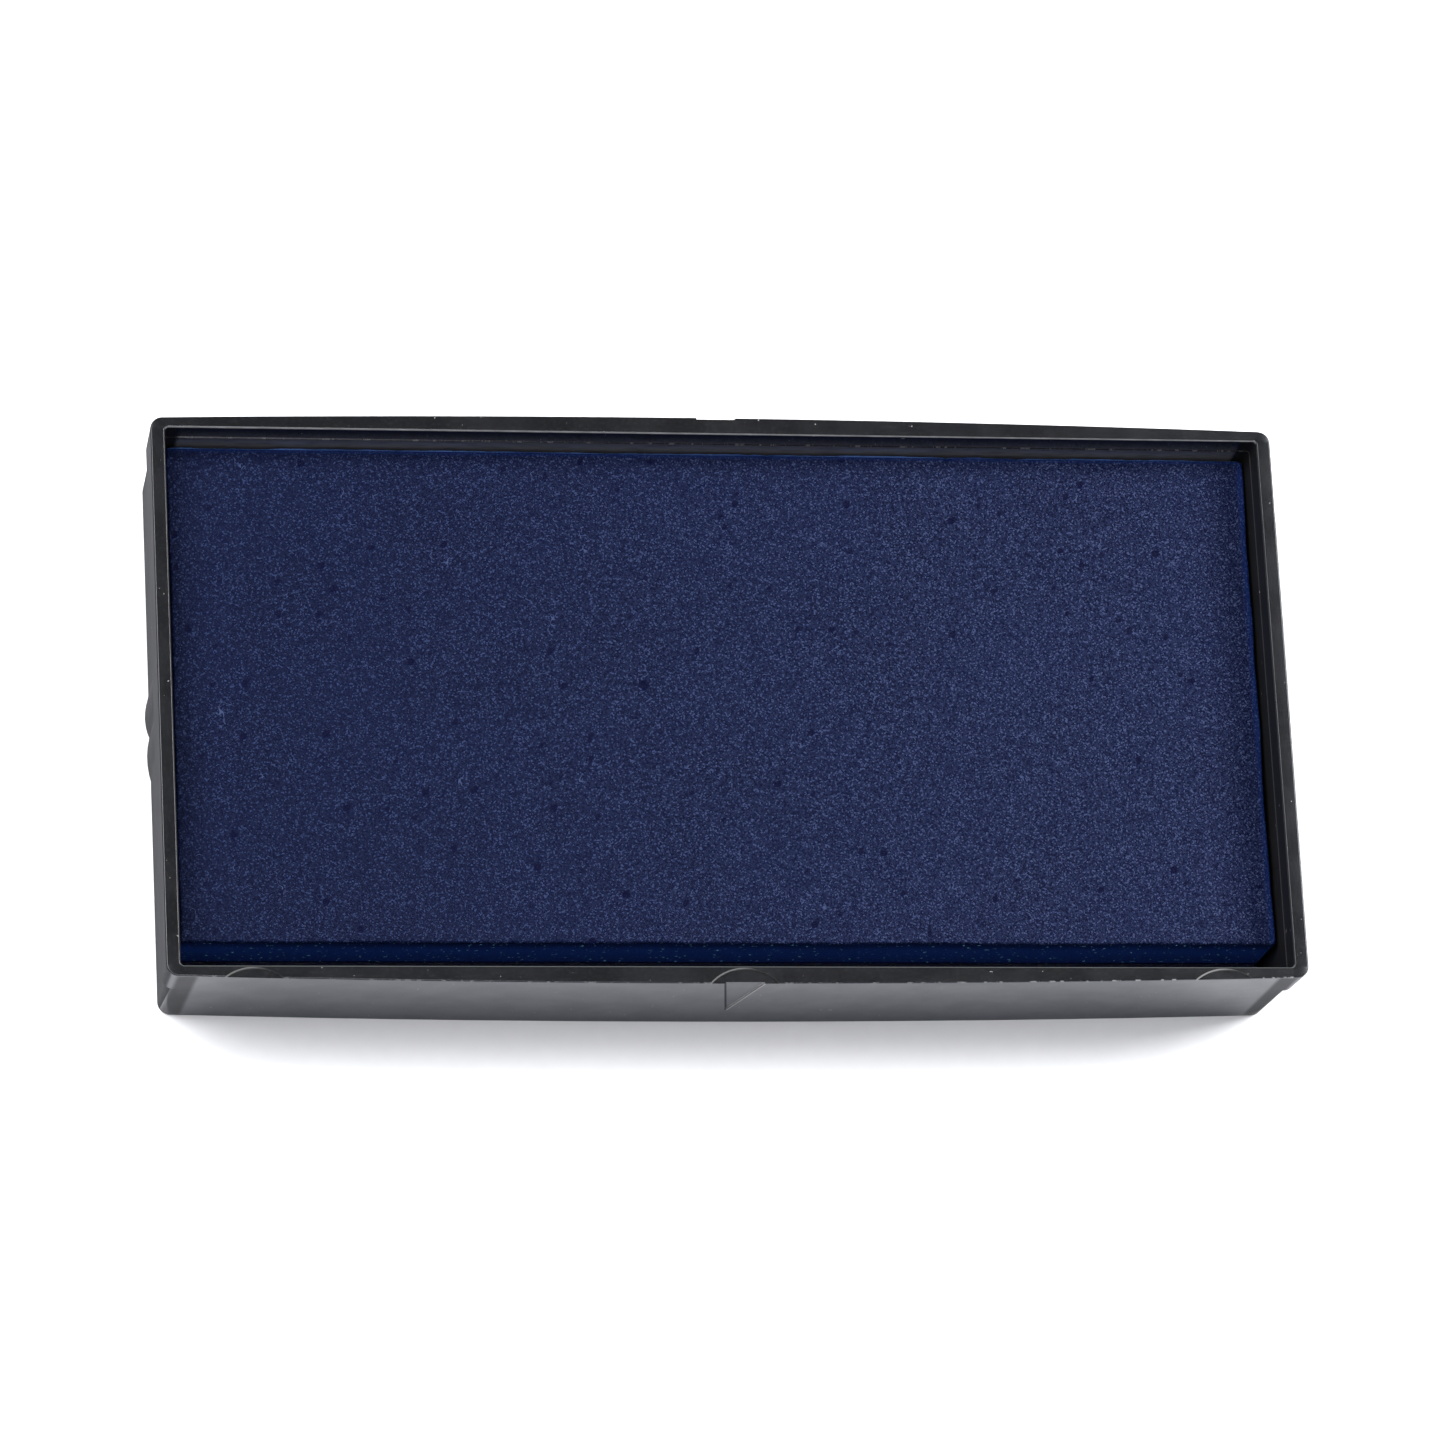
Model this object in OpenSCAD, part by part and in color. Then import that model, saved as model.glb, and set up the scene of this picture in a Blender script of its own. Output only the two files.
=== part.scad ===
// Ink pad cartridge: an open moulded tray that holds a felt ink reservoir and a foam stamping pad.
// Millimetres. X runs along the length, Y towards the back wall, Z up.
// The origin is at the middle of the underside.

/* [Tray] */
// Length of the tray at its rim
tray_length = 82.4; // [70:0.2:110]
// Width of the tray at its rim, beside the corners
tray_width = 41.8; // [34:0.2:60]
// Height of the tray
tray_height = 12; // [11:0.5:16]
// How far each long wall bows outward at mid-length
wall_bow = 0.5; // [0:0.1:1]
// Radius of the outer upright corners
corner_radius = 0.9; // [0.5:0.1:1.5]
// Thickness of the end walls at the rim
end_wall = 1.05; // [0.9:0.05:2]
// Thickness of the long walls at the rim, beside the corners
long_wall = 0.8; // [0.7:0.05:2]
// Thickness of the floor
floor_thickness = 1.2; // [0.8:0.1:2]
// How far the end walls lean in from rim to underside, for mould draft
end_wall_lean = 0.3; // [0:0.05:0.4]
// How far the long walls lean in from rim to underside, for mould draft
long_wall_lean = 0.65; // [0:0.05:0.65]
// How far the lower part of each end wall is set back under the rim band
end_step = 0.35; // [0.1:0.05:0.4]
// Height of the rim band above that step
band_height = 4; // [2:0.5:6]
// Rounding of the rim's outer edge
rim_rounding = 0.12; // [0.05:0.01:0.2]
// Rounding of the rim's inner edge
inner_rounding = 0.15; // [0.05:0.01:0.2]
// Rounding of the underside's edge
foot_rounding = 0.25; // [0.1:0.05:0.4]

/* [Finger ribs on the end walls] */
// Chord of the narrow rib
narrow_rib_chord = 3; // [2:0.1:4]
// How far the narrow rib stands out
narrow_rib_rise = 0.28; // [0.1:0.01:0.3]
// Chord of the wide rib
wide_rib_chord = 3.2; // [2:0.1:5]
// How far the wide rib stands out
wide_rib_rise = 0.2; // [0.1:0.01:0.3]
// Distance of the valley between the ribs from the middle of the end wall
rib_offset = 0.6; // [0:0.1:2]

/* [Mould marks] */
// Width of the arrow mark at the rim
arrow_width = 2.9; // [1:0.1:4]
// Length of the arrow mark down the long wall
arrow_length = 8.2; // [4:0.1:9]
// Depth of the arrow mark
arrow_depth = 0.12; // [0.05:0.01:0.2]
// Radius of the ejector pins that pushed on the rim
pin_radius = 3.3; // [2.8:0.1:4]
// Distance along the tray from its middle to the outer ejector pins
pin_spacing = 35; // [20:0.5:36]
// How far the pin centres lie outside the rim, beside the corners
pin_offset = 2.7; // [2.4:0.1:2.7]
// Depth of the ejector pin marks
pin_depth = 0.08; // [0.03:0.01:0.15]
// Depth below the rim of the fine witness line round the inside of the tray
witness_line_depth = 1.9; // [1:0.1:2.5]
// Width of the ledge that the witness line makes
witness_line_width = 0.05; // [0.02:0.01:0.1]

/* [Foam pad] */
// Depth of the foam's top below the rim
foam_recess = 3.2; // [2:0.1:4]
// Gap between the foam and the left end wall, measured at the rim
foam_left_gap = 0.4; // [0.4:0.05:1]
// Gap between the foam and the right end wall, measured at the rim
foam_right_gap = 0.4; // [0.4:0.05:1]
// Gap between the foam and the back wall, measured at the rim
foam_back_gap = 0.3; // [0.3:0.05:1]
// Gap between the foam and the front wall, measured at the rim
foam_front_gap = 2.65; // [0.5:0.05:4]
// Radius of the foam's upright corners
foam_corner = 0.3; // [0.3:0.1:2]

/* [Ink reservoir] */
// Thickness of the felt reservoir under the foam
felt_thickness = 2.4; // [1:0.1:3]
// Gap between the felt and the walls, at the floor
felt_gap = 0.25; // [0.1:0.05:1]

/* [Hidden] */

// Straight pieces that a bowed wall is drawn with, and pieces in each upright corner
bow_steps = 24;
corner_steps = 8;
// Pieces in each rounded edge, and in each full circle
edge_steps = 4;
circle_steps = 96;
// Radius of the upright corners inside the tray
pocket_corner = 0.25;
// How far the walls inside the tray lean in from rim to floor
pocket_lean = [0.3, 0.2];
// Height of the slope that joins the skirt to the rim band
step_slope = 0.2;
// How far a cutting shape runs past the face that it cuts
overcut = 1;

step_height = tray_height - band_height;
rim_size = [tray_length, tray_width];
pocket_size = rim_size - 2 * [end_wall, long_wall];
pocket_floor_size = pocket_size - 2 * pocket_lean;

foam_size = pocket_size - [foam_left_gap + foam_right_gap, foam_front_gap + foam_back_gap];
foam_bottom = floor_thickness + felt_thickness;
foam_thickness = tray_height - foam_recess - foam_bottom;

// Points of an upright corner, over the quarter turn from the heading start
function corner_arc(x, y, r, start) =
    [for (i = [0:corner_steps])
        let (heading = start + 90 * i / corner_steps)
        [x + r * cos(heading), y + r * sin(heading)]];

// Points of the back wall between its corners, bowed outward as a parabola
function bow_points(reach, half_width, bow) =
    [for (i = [1:bow_steps - 1])
        let (share = 1 - 2 * i / bow_steps)
        [reach * share, half_width + bow * (1 - share * share)]];

// Right end, back side and left end of an outline with round corners and bowed long sides
function back_half(size, r, bow) =
    let (reach = size[0] / 2 - r, half_width = size[1] / 2)
    concat(corner_arc(reach, half_width - r, r, 0),
           bow_points(reach, half_width, bow),
           corner_arc(-reach, half_width - r, r, 90));

// The whole outline as points at height z
function ring(z, size, r, bow) =
    let (half = back_half(size, r, bow))
    [for (side = [1, -1]) for (point = half) [side * point[0], side * point[1], z]];

// Closed solid through a stack of rings with equal numbers of points
module loft(rings) {
    count = len(rings[0]);
    top = len(rings) - 1;
    sides = [for (k = [0:top - 1])
        for (i = [0:count - 1])
            let (lower = k * count, upper = lower + count, next = (i + 1) % count)
            [lower + i, upper + i, upper + next, lower + next]];
    underside = [for (i = [0:count - 1]) i];
    upper_side = [for (i = [count - 1:-1:0]) top * count + i];
    polyhedron([for (level = rings) each level], concat([underside, upper_side], sides));
}

// Ring of the tray's outer wall at height z, set back at its ends and rounded off by these amounts
function wall_ring(z, set_back, rounding) =
    let (lean = (1 - z / tray_height) * [end_wall_lean, long_wall_lean])
    ring(z, rim_size - 2 * (lean + [set_back + rounding, rounding]), corner_radius - rounding, wall_bow);

// Ring of the inner wall at height z, opened out by this amount
function pocket_ring(z, opening) =
    let (lean = max(0, (tray_height - z) / (tray_height - floor_thickness)) * pocket_lean)
    ring(z, pocket_size - 2 * lean + 2 * [opening, opening], pocket_corner + opening, 0);

// Outer shape of the tray: a skirt under a rim band that stands proud of it at both ends
module tray_body() {
    turns = [for (i = [0:edge_steps]) 90 * i / edge_steps];
    foot = [for (turn = turns)
        wall_ring(foot_rounding * (1 - cos(turn)), end_step, foot_rounding * (1 - sin(turn)))];
    step = [wall_ring(step_height - step_slope, end_step, 0), wall_ring(step_height, 0, 0)];
    rim = [for (turn = turns)
        wall_ring(tray_height - rim_rounding * (1 - sin(turn)), 0, rim_rounding * (1 - cos(turn)))];
    loft(concat(foot, step, rim));
}

// Space inside the tray, with the witness line's ledge and the rim's rounded inner edge
module pocket() {
    line_height = tray_height - witness_line_depth;
    line = [pocket_ring(line_height, -witness_line_width), pocket_ring(line_height, 0)];
    edge = [for (i = [0:edge_steps])
        let (turn = 90 * i / edge_steps)
        pocket_ring(tray_height - inner_rounding * (1 - sin(turn)), inner_rounding * (1 - cos(turn)))];
    loft(concat([pocket_ring(floor_thickness, -witness_line_width)], line, edge,
                [pocket_ring(tray_height + overcut, inner_rounding)]));
}

// Does something on the tray's left end or front side, and again half a turn round
module both_ways() {
    for (turn = [0, 180])
        rotate([0, 0, turn])
            children();
}

// Radius of the cylinder whose cap has this chord and rise
function cap_radius(chord, rise) = (chord * chord / 4 + rise * rise) / (2 * rise);

// Upright rib on the left end wall, centred at y: the cap of a cylinder that leans with the wall
module finger_rib(chord, rise, y) {
    r = cap_radius(chord, rise);
    lean = atan(end_wall_lean / tray_height);
    wall_foot = end_step + end_wall_lean - tray_length / 2;
    intersection() {
        translate([wall_foot - rise + r, y, 0])
            rotate([0, -lean, 0])
                translate([0, 0, -overcut])
                    cylinder(r = r, h = tray_height, $fn = circle_steps);
        translate([-tray_length / 2, y - chord, 0])
            cube([end_step + end_wall_lean + end_wall / 2, 2 * chord, step_height - step_slope]);
    }
}

// A narrow and a wide rib side by side
module finger_ribs() {
    finger_rib(narrow_rib_chord, narrow_rib_rise, rib_offset + narrow_rib_chord / 2);
    finger_rib(wide_rib_chord, wide_rib_rise, rib_offset - wide_rib_chord / 2);
}

// Arrow sunk into the front wall, pointing down from the rim
module arrow_mark() {
    lean = atan(long_wall_lean / tray_height);
    half_width = arrow_width / 2;
    translate([0, -tray_width / 2 - wall_bow, tray_height])
        rotate([90 + lean, 0, 0])
            translate([0, 0, -arrow_depth])
                linear_extrude(overcut)
                    polygon([[-half_width, overcut], [-half_width, 0], [0, -arrow_length],
                             [half_width, 0], [half_width, overcut]]);
}

// Shallow round marks that the ejector pins left on the front rim
module pin_marks() {
    for (x = [-pin_spacing, 0, pin_spacing])
        translate([x, -tray_width / 2 - pin_offset, tray_height - pin_depth])
            cylinder(r = pin_radius, h = overcut, $fn = circle_steps);
}

module tray() {
    color("#2c2e31")
    difference() {
        union() {
            tray_body();
            both_ways() finger_ribs();
        }
        pocket();
        both_ways() arrow_mark();
        both_ways() pin_marks();
    }
}

// Flat block with upright sides and round corners
module soft_block(size, height, r) {
    inset = size / 2 - [r, r];
    linear_extrude(height) {
        square([size[0], 2 * inset[1]], center = true);
        square([2 * inset[0], size[1]], center = true);
        for (x = [-inset[0], inset[0]])
            for (y = [-inset[1], inset[1]])
                translate([x, y])
                    circle(r = r, $fn = circle_steps);
    }
}

module ink_reservoir() {
    color("#0b1238")
    translate([0, 0, floor_thickness])
        soft_block(pocket_floor_size - 2 * [felt_gap, felt_gap], felt_thickness, pocket_corner);
}

module foam_pad() {
    color("#1e2a5c")
    translate([(foam_left_gap - foam_right_gap) / 2, (foam_front_gap - foam_back_gap) / 2, foam_bottom])
        soft_block(foam_size, foam_thickness, foam_corner);
}

tray();
ink_reservoir();
foam_pad();
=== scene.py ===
"""Looks of an ink pad cartridge: a black moulded tray with an ink-soaked foam pad over a felt reservoir.

Lengths are metres in the frame of the CAD model. The materials work in millimetres.
"""

from math import cos, radians, sin
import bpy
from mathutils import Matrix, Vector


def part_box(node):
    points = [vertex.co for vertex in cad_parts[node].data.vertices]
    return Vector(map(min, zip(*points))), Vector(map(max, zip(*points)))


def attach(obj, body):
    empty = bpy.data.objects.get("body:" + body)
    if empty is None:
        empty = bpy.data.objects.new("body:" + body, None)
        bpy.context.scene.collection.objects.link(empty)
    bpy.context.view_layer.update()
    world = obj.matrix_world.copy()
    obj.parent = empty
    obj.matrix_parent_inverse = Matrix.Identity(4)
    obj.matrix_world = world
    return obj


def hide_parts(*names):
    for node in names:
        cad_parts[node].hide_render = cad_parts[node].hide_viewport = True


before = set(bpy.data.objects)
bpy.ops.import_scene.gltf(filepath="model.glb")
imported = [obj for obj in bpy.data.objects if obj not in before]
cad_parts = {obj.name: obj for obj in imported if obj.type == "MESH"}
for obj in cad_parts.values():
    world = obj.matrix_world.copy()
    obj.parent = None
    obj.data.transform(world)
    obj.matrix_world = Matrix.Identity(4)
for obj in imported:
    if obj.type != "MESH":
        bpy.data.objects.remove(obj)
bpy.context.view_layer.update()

from types import SimpleNamespace

import bpy
import numpy as np
from mathutils import Matrix, Vector, noise

MM = 0.001

# Soft parts: mesh cells, radii of the upright corners and of the rounded upper edges, rows of cells
# down the sides, and how far the sides draw in towards the bottom
FOAM_CELL = 0.22 * MM
FOAM_CORNER = 0.35 * MM
FOAM_EDGE = 0.22 * MM
FOAM_ROWS = 14
FOAM_INSET = 0.1 * MM
FELT_CELL = 0.6 * MM
FELT_CORNER = 0.3 * MM
FELT_EDGE = 0.35 * MM
FELT_ROWS = 4
FELT_INSET = 0.05 * MM

# How far the foam's cut sides waver, how ragged its long sides are, how uneven and how rough its top is,
# and how deep the felt's top is matted
END_WAVER = 0.12 * MM
SIDE_WAVER = 0.08 * MM
SIDE_TATTER = 0.05 * MM
TOP_SWELL = 0.06 * MM
TOP_GRAIN = 0.022 * MM
FELT_MATTING = 0.08 * MM

# Pores in the foam's top, with their depth as a share of their radius
PORE_COUNT = 110
PORE_RADII = (0.14 * MM, 0.28 * MM)
PORE_DEPTH = 0.8
SEED = 7

# Moulded features that the tray's material marks with scuffs and painted highlights, in millimetres
WITNESS_LINE_DEPTH = 1.9
ARROW_HALF_WIDTH = 1.45
ARROW_LENGTH = 8.2
PIN_RADIUS = 3.3
PIN_SPACING = 35
PIN_BEYOND_WALL = 2.2

# Where the tray's faces lie, in millimetres inward from its widest points: its outer faces and the back
# wall's inner face lie within the first four, the end walls' inner faces near the fifth, and the smoother
# walls round the foam beyond the last two
LONG_WALL_OUTSIDE = 1.05
END_WALL_OUTSIDE = 0.75
FRONT_OUTSIDE = 0.7
BACK_INSIDE = 1.9
INNER_END_MIDDLE = 1.5
RECESS_FROM_ENDS = 2.0
RECESS_FROM_SIDES = 1.25

# Camera, with its lens in millimetres. Its roll is how far its upward side leans to the right, as a slope.
CAMERA_AZIMUTH = radians(29.5)
CAMERA_ELEVATION = radians(69)
CAMERA_DISTANCE = 0.6
CAMERA_LENS = 206.5
CAMERA_ROLL = 0.05
CAMERA_AIM = Vector((0.45, 0.1, 6)) * MM


# ---------------------------------------------------------------- Node materials

# Numbers of the colour sockets of a Mix node, whose names they share with its other kinds of socket
MIX_FIRST = 6
MIX_SECOND = 7
MIX_RESULT = 2


class Recipe:
    """A node material in the making. Its calls add nodes and give back what comes out of them."""

    def __init__(self, name):
        self.material = bpy.data.materials.new(name)
        self.material.use_nodes = True
        self.tree = self.material.node_tree
        self.shader = self.tree.nodes["Principled BSDF"]
        surface = self.add("ShaderNodeTexCoord")
        millimetres = self.add("ShaderNodeVectorMath", operation="SCALE")
        self.feed(millimetres.inputs["Vector"], surface.outputs["Object"])
        millimetres.inputs["Scale"].default_value = 1 / MM
        self.place = millimetres.outputs["Vector"]
        self.x, self.y, self.z = self.parts(self.place)
        self.normal_x, self.normal_y, self.normal_z = self.parts(surface.outputs["Normal"])

    def add(self, kind, **settings):
        """A new node with these settings."""
        node = self.tree.nodes.new(kind)
        for name, value in settings.items():
            setattr(node, name, value)
        return node

    def feed(self, socket, value):
        """Links a socket to another node's output, or gives it a plain value."""
        if isinstance(value, bpy.types.NodeSocket):
            self.tree.links.new(value, socket)
        else:
            socket.default_value = value

    def parts(self, vector):
        """The x, y and z of a vector."""
        split = self.add("ShaderNodeSeparateXYZ")
        self.feed(split.inputs["Vector"], vector)
        return split.outputs

    def math(self, operation, *values):
        """Result of one of the Math node's operations."""
        node = self.add("ShaderNodeMath", operation=operation)
        for socket, value in zip(node.inputs, values):
            self.feed(socket, value)
        return node.outputs["Value"]

    def product(self, *values):
        """All the values multiplied. Of places, it is the place where all of them meet."""
        result = values[0]
        for value in values[1:]:
            result = self.math("MULTIPLY", result, value)
        return result

    def total(self, *values):
        """All the values added."""
        result = values[0]
        for value in values[1:]:
            result = self.math("ADD", result, value)
        return result

    def absolute(self, value):
        """The value without its sign."""
        return self.math("ABSOLUTE", value)

    def step(self, value, low, high, start=0.0, end=1.0):
        """Smooth change from start to end while value goes from low to high."""
        node = self.add("ShaderNodeMapRange", interpolation_type="SMOOTHSTEP")
        for socket, setting in zip(node.inputs, (value, low, high, start, end)):
            self.feed(socket, setting)
        return node.outputs["Result"]

    def above(self, value, limit, blur=0.1):
        """1 where value is above limit, and 0 where it is more than blur below it."""
        return self.step(value, limit - blur, limit)

    def below(self, value, limit, blur=0.1):
        """1 where value is below limit, and 0 where it is more than blur above it."""
        return self.step(value, limit + blur, limit)

    def line(self, value, middle, half_width):
        """1 where value is within half_width of middle, and 0 beyond twice that."""
        away = self.absolute(self.math("SUBTRACT", value, middle))
        return self.below(away, half_width, blur=half_width)

    def radius(self, x, y):
        """Distance in plan from the point x, y."""
        across = self.math("SUBTRACT", self.x, x)
        along = self.math("SUBTRACT", self.y, y)
        return self.math("SQRT", self.total(self.product(across, across), self.product(along, along)))

    def noise(self, scale, detail=2.0, stretch=(1, 1, 1), roughness=0.5, shift=(0, 0, 0)):
        """Noise with about scale features per millimetre, drawn out along the axes of low stretch."""
        mapping = self.add("ShaderNodeMapping")
        self.feed(mapping.inputs["Vector"], self.place)
        mapping.inputs["Scale"].default_value = stretch
        mapping.inputs["Location"].default_value = shift
        node = self.add("ShaderNodeTexNoise")
        self.feed(node.inputs["Vector"], mapping.outputs["Vector"])
        node.inputs["Scale"].default_value = scale
        node.inputs["Detail"].default_value = detail
        node.inputs["Roughness"].default_value = roughness
        return node.outputs["Fac"]

    def grains(self, scale):
        """Random level from 0 to 1 for each of the small cells that fill space, scale per millimetre."""
        node = self.add("ShaderNodeTexVoronoi")
        self.feed(node.inputs["Vector"], self.place)
        node.inputs["Scale"].default_value = scale
        return self.parts(node.outputs["Color"])[0]

    def flecks(self, scale, level):
        """Small separate specks, where a noise is above this level."""
        return self.step(self.noise(scale, 3.0), level, level + 0.03)

    def mix(self, amount, first, second):
        """Colour that goes from first to second as amount goes from 0 to 1."""
        node = self.add("ShaderNodeMix", data_type="RGBA")
        self.feed(node.inputs["Factor"], amount)
        self.feed(node.inputs[MIX_FIRST], first)
        self.feed(node.inputs[MIX_SECOND], second)
        return node.outputs[MIX_RESULT]

    def layers(self, colour, covers):
        """Colour with others laid over it one by one, each given with the place where it shows."""
        for place, cover in covers:
            colour = self.mix(place, colour, cover)
        return colour

    def bump(self, height, relief):
        """Normal of a surface raised by height times relief, in millimetres."""
        node = self.add("ShaderNodeBump")
        node.inputs["Distance"].default_value = relief * MM
        self.feed(node.inputs["Height"], height)
        return node.outputs["Normal"]

    def attribute(self, name):
        """Value that the mesh keeps for each of its points."""
        return self.add("ShaderNodeAttribute", attribute_name=name).outputs["Fac"]

    def finish(self, colour, roughness, normal):
        """The material, with these as its surface."""
        self.feed(self.shader.inputs["Base Color"], colour)
        self.feed(self.shader.inputs["Roughness"], roughness)
        self.feed(self.shader.inputs["Normal"], normal)
        return self.material


def grey(level):
    return (level, level, level, 1)


# ---------------------------------------------------------------- Plastic of the tray

# Its colours, as linear red, green, blue and alpha, like all colours here
PLASTIC_DARK = (0.0032, 0.0034, 0.004, 1)
PLASTIC_PALE = (0.0048, 0.005, 0.0058, 1)
PLASTIC_GRAIN = (0.011, 0.0115, 0.0125, 1)
PLASTIC_OUTSIDE = (0.007, 0.012, 0.022, 1)
# Grey on the back wall's inner face: partly dust, and partly painted light that grows towards the foam to
# lift the shade there
BACK_HAZE_AND_PAINTED_LIGHT = (0.11, 0.112, 0.127, 1)
# Near black on the end walls' inner faces: painted shade
PAINTED_END_SHADE = grey(0.0008)
# Pale line on the front wall's inner edge: a painted highlight
PAINTED_LIP_HIGHLIGHT = (0.055, 0.06, 0.06, 1)
# Pale broken line along the back wall's inner edge: a painted highlight
PAINTED_BACK_EDGE_HIGHLIGHT = (0.13, 0.133, 0.14, 1)
WITNESS_SCRAPE = grey(0.42)
# Pale arcs round the ejector pin marks on the front rim: painted highlights
PAINTED_PIN_HIGHLIGHT = grey(0.16)
# Pale line on the arrow's right edge on the front wall: a painted highlight
PAINTED_ARROW_HIGHLIGHT = grey(0.2)
RAGGED_FLECKS = grey(0.25)
DUST = grey(0.2)


def tray_places(recipe):
    """The tray's faces and edges, each as a value that is 1 there and 0 elsewhere.

    With them come the heights of the rim and of the foam's top, and the y of the tray's front.
    """
    low, high = [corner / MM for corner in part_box("tray")]
    rim = high.z
    from_middle_x = recipe.absolute(recipe.x)
    from_middle_y = recipe.absolute(recipe.y)
    end_facing = recipe.absolute(recipe.normal_x)
    side_facing = recipe.absolute(recipe.normal_y)
    rounded = recipe.product(recipe.step(recipe.normal_z, 0.98, 0.85),
                             recipe.step(recipe.normal_z, 0.1, 0.35))

    at = SimpleNamespace(rim=rim, front=low.y, foam_top=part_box("foam_pad")[1].z / MM)
    at.edge = recipe.product(rounded, recipe.above(recipe.z, rim - 0.16, blur=0.04))
    at.end_edges = recipe.product(at.edge, recipe.above(end_facing, 0.3, blur=0.2))
    at.front_lip = recipe.product(at.edge, recipe.above(recipe.normal_y, 0.3, blur=0.2),
                                  recipe.below(recipe.y, -1, blur=1))
    at.front_side = recipe.below(recipe.y, low.y + FRONT_OUTSIDE)
    at.long_walls = recipe.product(recipe.above(side_facing, 0.8, blur=0.2),
                                   recipe.above(from_middle_y, high.y - LONG_WALL_OUTSIDE))
    at.end_walls = recipe.product(recipe.above(end_facing, 0.8, blur=0.3),
                                  recipe.above(from_middle_x, high.x - END_WALL_OUTSIDE, blur=0.05))
    at.back_wall = recipe.product(recipe.below(recipe.normal_y, -0.6, blur=0.4),
                                  recipe.above(recipe.y, high.y - BACK_INSIDE))
    at.inner_ends = recipe.product(recipe.line(from_middle_x, high.x - INNER_END_MIDDLE, 0.45),
                                   recipe.below(recipe.z, rim - 0.25, blur=0.15))
    at.recess = recipe.product(recipe.below(recipe.z, rim - 0.6),
                               recipe.below(from_middle_x, high.x - RECESS_FROM_ENDS),
                               recipe.below(from_middle_y, high.y - RECESS_FROM_SIDES, blur=0.05))
    return at


def witness_scrape(recipe, at):
    """Broken scrape along the witness line on the back wall."""
    dashes = recipe.step(recipe.noise(0.8, 5.0, stretch=(1, 0, 0), roughness=0.7), 0.52, 0.58)
    return recipe.product(at.back_wall, dashes, recipe.line(recipe.z, at.rim - WITNESS_LINE_DEPTH, 0.03))


def painted_pin_highlights(recipe, at):
    """Painted highlights along the arcs that the ejector pins left on the front rim, stronger at their left
    ends and towards the right.
    """
    arcs = []
    for x in (-PIN_SPACING, 0, PIN_SPACING):
        arc = recipe.line(recipe.radius(x, at.front - PIN_BEYOND_WALL), PIN_RADIUS, 0.035)
        strength = recipe.step(recipe.x, x + 1.2, x - 0.8, 0.05, 1.0)
        arcs.append(recipe.product(arc, strength))
    to_right = recipe.step(recipe.x, 5, 30, 0.6, 1.0)
    return recipe.product(recipe.total(*arcs), recipe.line(recipe.z, at.rim, 0.1), to_right)


def arrow_edge(recipe, at, side):
    """Edge of the arrow on the front wall: the left one for side -1 and the right one for side 1."""
    from_tip = recipe.math("MULTIPLY_ADD", recipe.z, 1 / ARROW_LENGTH, 1 - at.rim / ARROW_LENGTH)
    offset = recipe.math("SUBTRACT", recipe.x, recipe.product(from_tip, side * ARROW_HALF_WIDTH))
    return recipe.product(at.front_side, recipe.line(offset, 0, 0.05), recipe.step(from_tip, 0.0, 0.02),
                          recipe.below(recipe.z, at.rim - 0.15, blur=0.05))


def clean_plastic(recipe, at, fine):
    """Colour of the plastic where nothing has touched it: black with a paler grain, bluish outside."""
    tone = recipe.step(recipe.noise(0.12, 4.0), 0.3, 0.7)
    return recipe.layers(PLASTIC_DARK, [
        (tone, PLASTIC_PALE),
        (recipe.step(fine, 0.45, 0.8), PLASTIC_GRAIN),
        (recipe.product(at.long_walls, 0.7), PLASTIC_OUTSIDE),
    ])


def plastic_wear_and_painted_light(recipe, at, clean):
    """Adds to the clean colour a haze on the back wall that is partly painted light, painted shade on the
    inner ends, painted highlights on the front lip, the back edge and the mould marks, a scrape on the
    witness line, ragged flecks and dust.
    """
    mist = recipe.step(recipe.noise(0.5, 4.0, stretch=(1, 1, 3)), 0.25, 0.6, 0.7, 1.0)
    # Grey on the back wall, stronger further down past the foam's top: partly dust, partly painted light
    # against the shade near the foam
    haze_and_painted_light = recipe.product(at.back_wall, recipe.step(recipe.z, at.rim - 0.2, at.foam_top - 0.3), mist)
    # Breaks in the painted highlight along the back wall's inner edge
    highlight_breaks = recipe.step(recipe.noise(0.6, 4.0, stretch=(1, 0, 0), shift=(7, 0, 0)), 0.3, 0.7, 0.6, 1.0)
    tatters = recipe.step(recipe.noise(2.0, 4.0, shift=(3, 0, 0)), 0.55, 0.62)
    to_right = recipe.step(recipe.x, 5, 35, 0.3, 1.0)
    return recipe.layers(clean, [
        (haze_and_painted_light, BACK_HAZE_AND_PAINTED_LIGHT),
        (at.inner_ends, PAINTED_END_SHADE),
        (at.front_lip, PAINTED_LIP_HIGHLIGHT),
        (recipe.product(at.edge, at.back_wall, highlight_breaks), PAINTED_BACK_EDGE_HIGHLIGHT),
        (witness_scrape(recipe, at), WITNESS_SCRAPE),
        (painted_pin_highlights(recipe, at), PAINTED_PIN_HIGHLIGHT),
        (arrow_edge(recipe, at, 1), PAINTED_ARROW_HIGHLIGHT),
        (recipe.product(at.edge, at.front_side, to_right, tatters), RAGGED_FLECKS),
        (recipe.flecks(2.8, 0.735), DUST),
    ])


def plastic_roughness(recipe, at):
    """Satin, with matt ends and foot, a matt left edge of the arrow and a smoother recess."""
    roughness = recipe.step(recipe.noise(0.35, 3.0, shift=(5, 2, 1)), 0.3, 0.7, 0.22, 0.27)
    foot = recipe.product(at.long_walls, recipe.step(recipe.z, at.rim, 0, 0.4, 1.0))
    for place, more in [(at.end_walls, 0.6), (at.end_edges, 0.75), (at.inner_ends, 0.3), (foot, 0.28),
                        (arrow_edge(recipe, at, -1), 0.6), (at.recess, -0.12)]:
        roughness = recipe.total(roughness, recipe.product(place, more))
    return roughness


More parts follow.
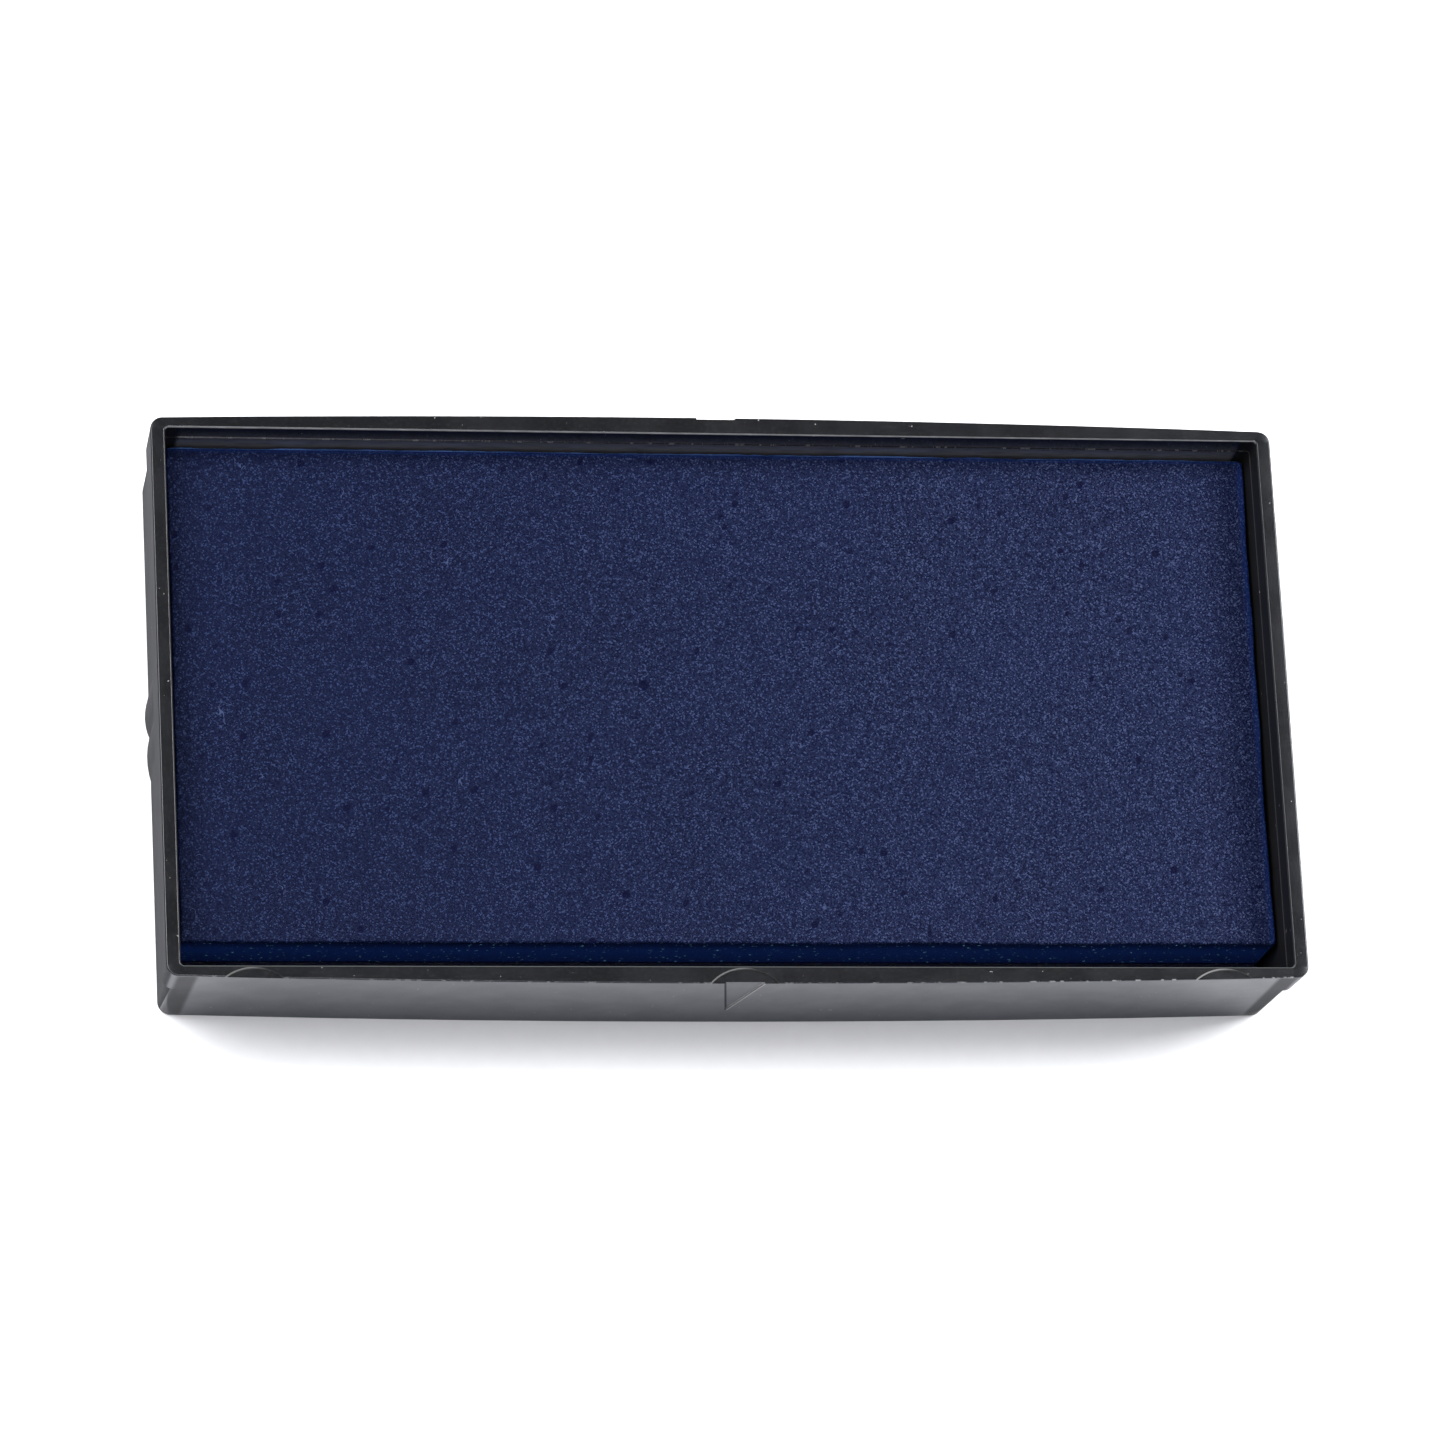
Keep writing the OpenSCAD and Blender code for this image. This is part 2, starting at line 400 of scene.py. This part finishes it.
def tray_plastic():
    """Satin black moulding with a fine grain, the marks of its mould and of use, and painted shade and
    highlights.
    """
    recipe = Recipe("tray_plastic")
    recipe.shader.inputs["IOR"].default_value = 1.5
    recipe.shader.inputs["Specular Tint"].default_value = (0.9, 0.92, 1.0, 1)
    at = tray_places(recipe)
    fine = recipe.noise(4.0, 3.0, roughness=0.6)
    colour = plastic_wear_and_painted_light(recipe, at, clean_plastic(recipe, at, fine))
    return recipe.finish(colour, plastic_roughness(recipe, at), recipe.bump(fine, 0.004))


# ---------------------------------------------------------------- Foam, felt and floor

# Colours of the foam's grain, each as the pair that its surface varies between: the dark grain in
# blotches, and the paler ones from the left end to the right, where the lightening to the right is a
# painted sheen
DARK_GRAIN = ((0.0003, 0.0015, 0.0125, 1), (0.0005, 0.0021, 0.016, 1))
MIDDLE_GRAIN_AND_SHEEN = ((0.0023, 0.0051, 0.0232, 1), (0.0056, 0.0097, 0.0345, 1))
BRIGHT_GRAIN_AND_SHEEN = ((0.0145, 0.0235, 0.066, 1), (0.0275, 0.038, 0.089, 1))

# Dark spots for the foam's pinholes: painted shade
PAINTED_PINHOLE_SHADE = (0.0004, 0.0014, 0.012, 1)
FIBRE = (0.026, 0.038, 0.09, 1)
# Darker colour in the dents of the pores: painted shade
PAINTED_PORE_SHADE = (0.0001, 0.001, 0.014, 1)
# Darker, bluer colour along the foam's right and back edges
DARKER_BORDER = (0.002, 0.011, 0.07, 1)
# Pale blue broken line along the foam's back edge: a painted glint
PAINTED_BACK_GLINT = (0.045, 0.09, 0.24, 1)
CUT_SIDE = (0.001, 0.004, 0.02, 1)

# The cut front side, from its top to its bottom, where the lighter, bluer bottom is painted light against
# the shade in the gap
FRONT_CUT_AND_PAINTED_LIGHT = ((0.004, 0.014, 0.072, 1), (0.016, 0.055, 0.29, 1))
# Pale cyan flecks on the cut front side: painted glints
PAINTED_FRONT_GLINTS = (0.3, 0.7, 1, 1)

FELT_FIBRES = ((0.001, 0.002, 0.012, 1), (0.004, 0.007, 0.035, 1))
PAPER_TOOTH = ((0.825, 0.828, 0.855, 1), (0.865, 0.868, 0.895, 1))


def foam_top_colour(recipe, low, high, grain):
    """Grain of three tones that grow lighter to the right as a painted sheen, with pinholes and pores
    darkened as painted shade, a few fibres, a darker border along the right and back edges and a painted
    glint along the back edge.
    """
    blotches = recipe.step(recipe.noise(0.1, 3.0), 0.3, 0.7)
    # Painted sheen: the paler grain grows lighter towards the right end
    to_right = recipe.step(recipe.x, low.x, high.x)
    sparkle = recipe.step(recipe.grains(10.5), 0.76, 0.98)
    # Pinholes drawn as dark spots of painted shade
    pinholes = recipe.step(recipe.noise(2.8, 2.0, shift=(9, 4, 0)), 0.3, 0.22)
    fibres = recipe.product(recipe.line(recipe.noise(0.8, 1.0, shift=(2, 6, 0)), 0.5, 0.004),
                            recipe.step(recipe.noise(0.6, 1.0, shift=(4, 1, 0)), 0.68, 0.72))
    border = recipe.math("MAXIMUM", recipe.above(recipe.x, high.x - 0.2, blur=0.5),
                         recipe.above(recipe.y, high.y - 0.2, blur=0.3))
    # Breaks and place of the painted glint along the foam's back edge
    breaks = recipe.step(recipe.noise(0.12, 3.0, stretch=(1, 0, 0)), 0.35, 0.6, 0.15, 1.0)
    painted_glint_line = recipe.product(recipe.above(recipe.y, high.y - 0.1, blur=0.06), breaks)
    return recipe.layers(recipe.mix(blotches, *DARK_GRAIN), [
        (grain, recipe.mix(to_right, *MIDDLE_GRAIN_AND_SHEEN)),
        (sparkle, recipe.mix(to_right, *BRIGHT_GRAIN_AND_SHEEN)),
        (pinholes, PAINTED_PINHOLE_SHADE),
        (fibres, FIBRE),
        (recipe.step(recipe.attribute("pore"), 0.0, 0.3), PAINTED_PORE_SHADE),
        (recipe.product(border, 0.5), DARKER_BORDER),
        (painted_glint_line, PAINTED_BACK_GLINT),
    ])


def foam_front_colour(recipe, high):
    """The cut front side: dark under its edge, lighter and bluer further down as painted light, with pale
    flecks that are painted glints.
    """
    depth = recipe.step(recipe.z, high.z, high.z - 2.0)
    return recipe.mix(recipe.flecks(2.7, 0.65), recipe.mix(depth, *FRONT_CUT_AND_PAINTED_LIGHT), PAINTED_FRONT_GLINTS)


def inked_foam():
    """Fine-pored foam soaked with navy ink."""
    low, high = [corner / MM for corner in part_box("foam_pad")]
    recipe = Recipe("inked_foam")
    recipe.shader.inputs["Specular IOR Level"].default_value = 0.05
    texture = recipe.noise(7.0, 2.0, roughness=0.6)
    grain = recipe.step(texture, 0.4, 0.58)
    side = recipe.step(recipe.z, high.z - 0.15, high.z - 0.4)
    front_side = recipe.product(side, recipe.below(recipe.normal_y, -0.5, blur=0.3))
    colour = recipe.layers(foam_top_colour(recipe, low, high, grain), [
        (side, CUT_SIDE),
        (front_side, foam_front_colour(recipe, high)),
    ])
    roughness = recipe.step(grain, 0.0, 1.0, 0.6, 0.45)
    return recipe.finish(colour, roughness, recipe.bump(texture, 0.1))


def soaked_felt():
    """Felt soaked with ink: dark matted fibres."""
    recipe = Recipe("soaked_felt")
    recipe.shader.inputs["Specular IOR Level"].default_value = 0.25
    fibres = recipe.step(recipe.noise(3.0, 3.0, stretch=(1, 3, 1)), 0.35, 0.7)
    roughness = recipe.step(fibres, 0.0, 1.0, 0.35, 0.6)
    return recipe.finish(recipe.mix(fibres, *FELT_FIBRES), roughness, recipe.bump(fibres, 0.08))


def white_paper():
    """White floor with the faint tooth of paper."""
    recipe = Recipe("white_paper")
    tooth = recipe.noise(0.8, 2.0)
    return recipe.finish(recipe.mix(tooth, *PAPER_TOOTH), 0.9, recipe.bump(tooth, 0.02))


# ---------------------------------------------------------------- Tray

def smooth_shading(piece, sharp_angle):
    """Shades a faceted mesh smooth between its sharp edges, and keeps its flat faces flat."""
    tree = bpy.data.node_groups.new("smooth_shading", "GeometryNodeTree")
    for way in ("INPUT", "OUTPUT"):
        tree.interface.new_socket("Geometry", in_out=way, socket_type="NodeSocketGeometry")

    def chain(kind, geometry, **inputs):
        """Adds a node that takes the geometry, and gives back the node."""
        node = tree.nodes.new(kind)
        tree.links.new(geometry, node.inputs[0])
        for name, value in inputs.items():
            node.inputs[name.replace("_", " ")].default_value = value
        return node

    start = tree.nodes.new("NodeGroupInput")
    plain = chain("GeometryNodeRemoveAttribute", start.outputs[0], Name="custom_normal")
    welded = chain("GeometryNodeMergeByDistance", plain.outputs[0], Distance=0.001 * MM)
    smooth = chain("GeometryNodeSetShadeSmooth", welded.outputs[0], Shade_Smooth=True)
    creased = chain("GeometryNodeSetShadeSmooth", smooth.outputs[0], Shade_Smooth=False)
    creased.domain = "EDGE"
    angle = tree.nodes.new("GeometryNodeInputMeshEdgeAngle")
    compare = tree.nodes.new("FunctionNodeCompare")
    tree.links.new(angle.outputs["Unsigned Angle"], compare.inputs["A"])
    compare.inputs["B"].default_value = sharp_angle
    tree.links.new(compare.outputs["Result"], creased.inputs["Selection"])
    tree.links.new(creased.outputs[0], tree.nodes.new("NodeGroupOutput").inputs[0])

    piece.modifiers.new("smooth_shading", "NODES").node_group = tree
    weighted = piece.modifiers.new("flat_faces", "WEIGHTED_NORMAL")
    weighted.keep_sharp = True
    weighted.weight = 100


# ---------------------------------------------------------------- Soft parts

def spread(low, high, cell, edge):
    """Places from low to high a cell apart, with closer ones in the rounded strip at each end."""
    count = round((high - low - 2 * edge) / cell)
    middle = np.linspace(low + edge, high - edge, count + 1)
    near = edge * np.array([0.0, 0.3, 0.65])
    return np.concatenate([low + near, middle, high - near[::-1]])


def rounded_corners(points, half, r):
    """Moves the points of a rectangle grid so that its outline has corners of radius r."""
    inner = (np.abs(points) - (half - r)) / r
    in_corner = (inner > 0).all(axis=1)
    a, b = inner[in_corner].T
    disc = np.stack([a * np.sqrt(1 - b * b / 2), b * np.sqrt(1 - a * a / 2)], axis=1)
    moved = points.copy()
    moved[in_corner] = np.sign(points[in_corner]) * (half - r + r * disc)
    return moved


def grid_outline(wide, deep):
    """Numbers of the points round the edge of a grid, anticlockwise from its first point."""
    front = list(range(wide))
    right = [j * wide + wide - 1 for j in range(1, deep)]
    back = [(deep - 1) * wide + i for i in range(wide - 2, -1, -1)]
    left = [j * wide for j in range(deep - 2, 0, -1)]
    return front + right + back + left


def soft_slab(name, low, high, cell, corner, edge, rows, inset):
    """Closed block of small cells, with rounded upper edges and sides in this many rows."""
    centre = np.array((low + high) / 2)
    half = np.array((high - low) / 2)[:2]
    xs = spread(-half[0], half[0], cell, edge)
    ys = spread(-half[1], half[1], cell, edge)
    grid = np.array([(x, y) for y in ys for x in xs])
    depth = (half - np.abs(grid)).min(axis=1)
    outward = 1 - np.clip(depth / edge, 0, 1)
    drop = edge * (1 - np.sqrt(1 - outward * outward))
    top = np.column_stack([rounded_corners(grid, half, corner), high.z - drop])

    wide, deep = len(xs), len(ys)
    faces = [(j * wide + i, j * wide + i + 1, (j + 1) * wide + i + 1, (j + 1) * wide + i)
             for j in range(deep - 1) for i in range(wide - 1)]
    outline = grid_outline(wide, deep)

    levels = [top]
    upper = outline
    start = len(top)
    for row in range(1, rows + 1):
        share = row / rows
        ring = top[outline].copy()
        ring[:, :2] *= 1 - share * inset / half
        ring[:, 2] += share * (low.z - ring[:, 2])
        levels.append(ring)
        lower = list(range(start, start + len(outline)))
        start += len(outline)
        faces += [(upper[k], lower[k], lower[(k + 1) % len(outline)], upper[(k + 1) % len(outline)])
                  for k in range(len(outline))]
        upper = lower
    faces.append(tuple(reversed(upper)))

    points = np.concatenate(levels)
    points[:, :2] += centre[:2]
    mesh = bpy.data.meshes.new(name)
    mesh.from_pydata(points.tolist(), [], faces)
    mesh.polygons.foreach_set("use_smooth", [True] * (len(faces) - 1) + [False])
    piece = bpy.data.objects.new(name, mesh)
    bpy.context.scene.collection.objects.link(piece)
    return piece


def mesh_points(piece):
    points = np.empty(3 * len(piece.data.vertices))
    piece.data.vertices.foreach_get("co", points)
    return points.reshape(-1, 3)


def set_mesh_points(piece, points):
    piece.data.vertices.foreach_set("co", points.ravel())
    piece.data.update()


def ripple(points, scale, octaves=1):
    """Noise from about -1 to 1 at each point, with about scale features per millimetre."""
    return np.array([noise.fractal(Vector(p) * (scale / MM), 0.6, 2.0, octaves) for p in points])


def foam_piece():
    """The foam pad: a slightly uneven, finely grained top with pores, and wavering cut edges."""
    low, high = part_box("foam_pad")
    piece = soft_slab("stamping_foam", low, high, FOAM_CELL, FOAM_CORNER, FOAM_EDGE, FOAM_ROWS, FOAM_INSET)
    points = mesh_points(piece)
    height = (points[:, 2] - low.z) / (high.z - low.z)
    rest = points.copy()

    points[:, 0] += height * END_WAVER * ripple(rest, 0.09, 3)
    points[:, 1] += height * (SIDE_WAVER * ripple(rest + 0.1, 0.12, 3) + SIDE_TATTER * ripple(rest, 1.3, 2))
    points[:, 2] += height * (TOP_SWELL * ripple(rest, 0.05) + TOP_GRAIN * ripple(rest, 2.2, 2))

    random = np.random.default_rng(SEED)
    pore = np.zeros(len(points))
    for _ in range(PORE_COUNT):
        x = random.uniform(low.x, high.x)
        y = random.uniform(low.y, high.y)
        radius = random.uniform(*PORE_RADII)
        near = np.hypot(rest[:, 0] - x, rest[:, 1] - y) / radius
        dip = np.where(height > 0.9, np.clip(1 - near * near, 0, 1), 0)
        pore = np.maximum(pore, dip)
        points[:, 2] -= dip * radius * PORE_DEPTH
    set_mesh_points(piece, points)
    attribute = piece.data.attributes.new("pore", "FLOAT", "POINT")
    attribute.data.foreach_set("value", pore)
    return piece


def felt_piece():
    """The felt reservoir: a matted block with soft edges."""
    low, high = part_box("ink_reservoir")
    piece = soft_slab("felt_reservoir", low, high, FELT_CELL, FELT_CORNER, FELT_EDGE, FELT_ROWS, FELT_INSET)
    points = mesh_points(piece)
    height = (points[:, 2] - low.z) / (high.z - low.z)
    points[:, 2] -= height * FELT_MATTING * np.abs(ripple(points, 0.8, 3))
    set_mesh_points(piece, points)
    return piece


# ---------------------------------------------------------------- Stage

def floor_plane():
    mesh = bpy.data.meshes.new("floor")
    reach = 3.0
    mesh.from_pydata([(-reach, -reach, 0), (reach, -reach, 0), (reach, reach, 0), (-reach, reach, 0)],
                     [], [(0, 1, 2, 3)])
    floor = bpy.data.objects.new("floor", mesh)
    mesh.materials.append(white_paper())
    bpy.context.scene.collection.objects.link(floor)
    return floor


def looking_at(place, aim, up):
    """World matrix of a camera or light at place, pointing at aim."""
    forward = (aim - place).normalized()
    right = forward.cross(up).normalized()
    turned = Matrix((right, right.cross(forward), -forward)).transposed()
    return Matrix.Translation(place) @ turned.to_4x4()


def softbox(name, azimuth, elevation, distance, size, power):
    """Square area light. Azimuth 0 lies behind the object, 90 to its right."""
    light = bpy.data.lights.new(name, "AREA")
    light.size = size
    light.energy = power
    turn, rise = radians(azimuth), radians(elevation)
    place = distance * Vector((sin(turn) * cos(rise), cos(turn) * cos(rise), sin(rise)))
    aim = Vector((0, 0, 0))
    upward = Vector((0.01, 0, 1))
    lamp = bpy.data.objects.new(name, light)
    lamp.matrix_world = looking_at(place, aim, upward)
    bpy.context.scene.collection.objects.link(lamp)


def studio_walls():
    """Surroundings of a studio with pale walls and a dark ceiling."""
    world = bpy.data.worlds.new("studio")
    world.use_nodes = True
    nodes, links = world.node_tree.nodes, world.node_tree.links
    split = nodes.new("ShaderNodeSeparateXYZ")
    links.new(nodes.new("ShaderNodeTexCoord").outputs["Generated"], split.inputs["Vector"])
    fade = nodes.new("ShaderNodeMapRange")
    fade.interpolation_type = "SMOOTHSTEP"
    for name, value in [("From Min", 0.3), ("From Max", 0.85), ("To Min", 0.7), ("To Max", 0.04)]:
        fade.inputs[name].default_value = value
    links.new(split.outputs["Z"], fade.inputs["Value"])
    background = nodes["Background"]
    background.inputs["Color"].default_value = (0.96, 0.965, 1.0, 1)
    links.new(fade.outputs["Result"], background.inputs["Strength"])
    bpy.context.scene.world = world


def studio_light():
    softbox("left_softbox", azimuth=-68, elevation=55, distance=0.9, size=0.5, power=12.4)
    softbox("right_softbox", azimuth=70, elevation=43, distance=0.6, size=0.26, power=5.2)
    softbox("front_softbox", azimuth=185, elevation=71, distance=0.9, size=0.25, power=2.6)
    bpy.context.scene.view_settings.view_transform = "Standard"


def camera():
    lens = bpy.data.cameras.new("camera")
    lens.lens = CAMERA_LENS
    lens.clip_start = 0.01
    lens.clip_end = 20
    toward = Vector((-sin(CAMERA_AZIMUTH) * cos(CAMERA_ELEVATION),
                     -cos(CAMERA_AZIMUTH) * cos(CAMERA_ELEVATION),
                     sin(CAMERA_ELEVATION)))
    eye = bpy.data.objects.new("camera", lens)
    place = CAMERA_AIM + CAMERA_DISTANCE * toward
    eye.matrix_world = looking_at(place, CAMERA_AIM, Vector((CAMERA_ROLL, 1, 0)))
    bpy.context.scene.collection.objects.link(eye)
    bpy.context.scene.camera = eye


# ---------------------------------------------------------------- Assembly

camera()
studio_walls()
studio_light()
floor_plane()

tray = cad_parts["tray"]
tray.material_slots[0].material = tray_plastic()
smooth_shading(tray, sharp_angle=radians(30))

foam = foam_piece()
foam.data.materials.append(inked_foam())
felt = felt_piece()
felt.data.materials.append(soaked_felt())

for piece, node, material_slot in [(foam, "foam_pad", "inked_foam"),
                                   (felt, "ink_reservoir", "soaked_felt")]:
    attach(piece, "root")
    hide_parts(node)
